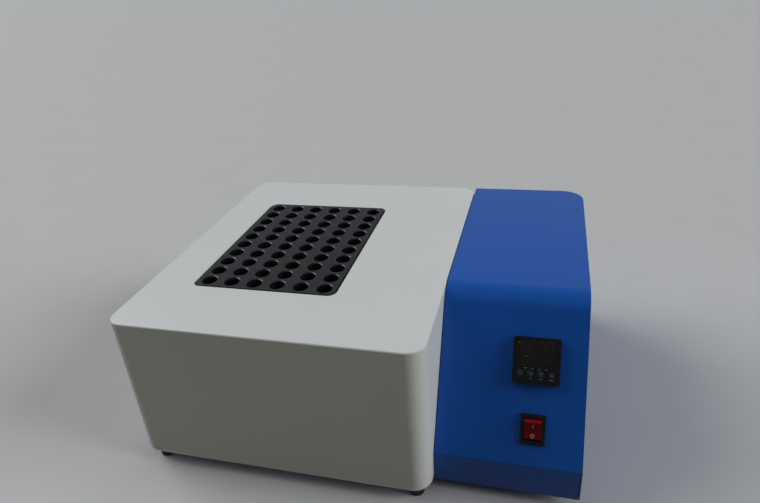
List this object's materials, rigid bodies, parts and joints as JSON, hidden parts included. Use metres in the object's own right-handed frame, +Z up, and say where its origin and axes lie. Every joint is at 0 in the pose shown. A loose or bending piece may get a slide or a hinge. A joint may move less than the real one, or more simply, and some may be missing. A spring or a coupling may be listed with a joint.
{
  "type": "dry block heater",
  "caption": "Bench heater for test tubes: a white case with a drilled black block in its top, and a blue control case with a sloping panel, a temperature controller and a rocker switch.",
  "frame": {"origin": "under the middle of the whole object, on the surface that its feet stand on", "axes": "+X to the right along the front, +Y to the back, +Z up"},
  "size_m": [0.5, 0.412, 0.2],
  "materials": {
    "white_paint": "fine textured powder coat",
    "blue_paint": "satin powder coat",
    "black_block": "black anodised, satin",
    "plated_steel": "zinc plated",
    "heater_steel": "drawn stainless sheath",
    "sink_aluminium": "extruded",
    "black_rubber": "matt",
    "black_plastic": "fine moulded grain",
    "smoked_window": "smooth, smoked",
    "display_black": "unlit segments",
    "key_plastic": "smooth film",
    "red_plastic": "translucent, smooth",
    "board_green": "varnished",
    "insulation_wool": "pressed mineral fibre",
    "white_ceramic": "unglazed ceramic",
    "lead_sleeve": "glass braid sleeve",
    "loom_sleeve": "braided sleeve",
    "contact_brass": "nickel flashed",
    "relay_plastic": "moulded",
    "fuse_glass": "clear tube"
  },
  "bodies": {
    "heater": {"heater_housing": "white_paint", "housing_base": "plated_steel", "base_screws": "plated_steel", "base_nuts": "plated_steel", "foot_front_left": "black_rubber", "foot_front_right": "black_rubber", "foot_back_left": "black_rubber", "foot_back_right": "black_rubber", "foot_screws": "plated_steel", "foot_nuts": "plated_steel", "heating_block": "black_block", "heater_plate": "black_block", "block_screws": "plated_steel", "cartridge_heaters": "heater_steel", "heater_leads": "lead_sleeve", "lead_terminals": "white_ceramic", "wiring_loom": "loom_sleeve", "loom_grommet": "black_rubber", "temperature_sensor": "heater_steel", "safety_thermostat": "black_plastic", "insulation_front": "insulation_wool", "insulation_back": "insulation_wool", "insulation_left": "insulation_wool", "insulation_right": "insulation_wool", "insulation_bottom": "insulation_wool", "block_pillars": "white_ceramic", "block_studs": "plated_steel", "block_nuts": "plated_steel", "control_cover": "blue_paint", "control_side_plate": "plated_steel", "control_base": "blue_paint", "cover_screws": "plated_steel", "joining_bolts": "plated_steel", "joining_washers": "black_rubber", "joining_nuts": "plated_steel", "controller_bezel": "black_plastic", "controller_case": "black_plastic", "controller_board": "board_green", "controller_display": "display_black", "controller_window": "smoked_window", "controller_terminals": "black_plastic", "controller_clamp": "black_plastic", "switch_body": "black_plastic", "switch_pin": "plated_steel", "switch_blades": "contact_brass", "relay_heat_sink": "sink_aluminium", "solid_state_relay": "relay_plastic", "relay_screws": "plated_steel", "wiring_block": "white_ceramic", "power_inlet": "black_plastic", "inlet_pins": "contact_brass", "inlet_screws": "plated_steel"},
    "rocker": {"switch_rocker": "red_plastic"},
    "set_button": {"set_key": "key_plastic"},
    "left_button": {"left_key": "key_plastic"},
    "down_button": {"down_key": "key_plastic"},
    "up_button": {"up_key": "key_plastic"},
    "drawer": {"fuse_drawer": "black_plastic", "fuse": "fuse_glass"}
  },
  "joints": [
    {"name": "rocker_tilt", "type": "hinge", "parent": "heater", "child": "rocker", "pos_m": [0.199, -0.15716, 0.0814], "axis": [-1, 0, 0], "range_deg": [0, 20]},
    {"name": "set_key_press", "type": "slide", "parent": "heater", "child": "set_button", "axis": [0, 0.8348, -0.5505], "range_m": [0, 0.0004], "stiffness_N_per_m": 1500},
    {"name": "left_key_press", "type": "slide", "parent": "heater", "child": "left_button", "axis": [0, 0.8348, -0.5505], "range_m": [0, 0.0004], "stiffness_N_per_m": 1500},
    {"name": "down_key_press", "type": "slide", "parent": "heater", "child": "down_button", "axis": [0, 0.8348, -0.5505], "range_m": [0, 0.0004], "stiffness_N_per_m": 1500},
    {"name": "up_key_press", "type": "slide", "parent": "heater", "child": "up_button", "axis": [0, 0.8348, -0.5505], "range_m": [0, 0.0004], "stiffness_N_per_m": 1500},
    {"name": "fuse_drawer_slide", "type": "slide", "parent": "heater", "child": "drawer", "axis": [0, 1, 0], "range_m": [0, 0.022]}
  ]
}
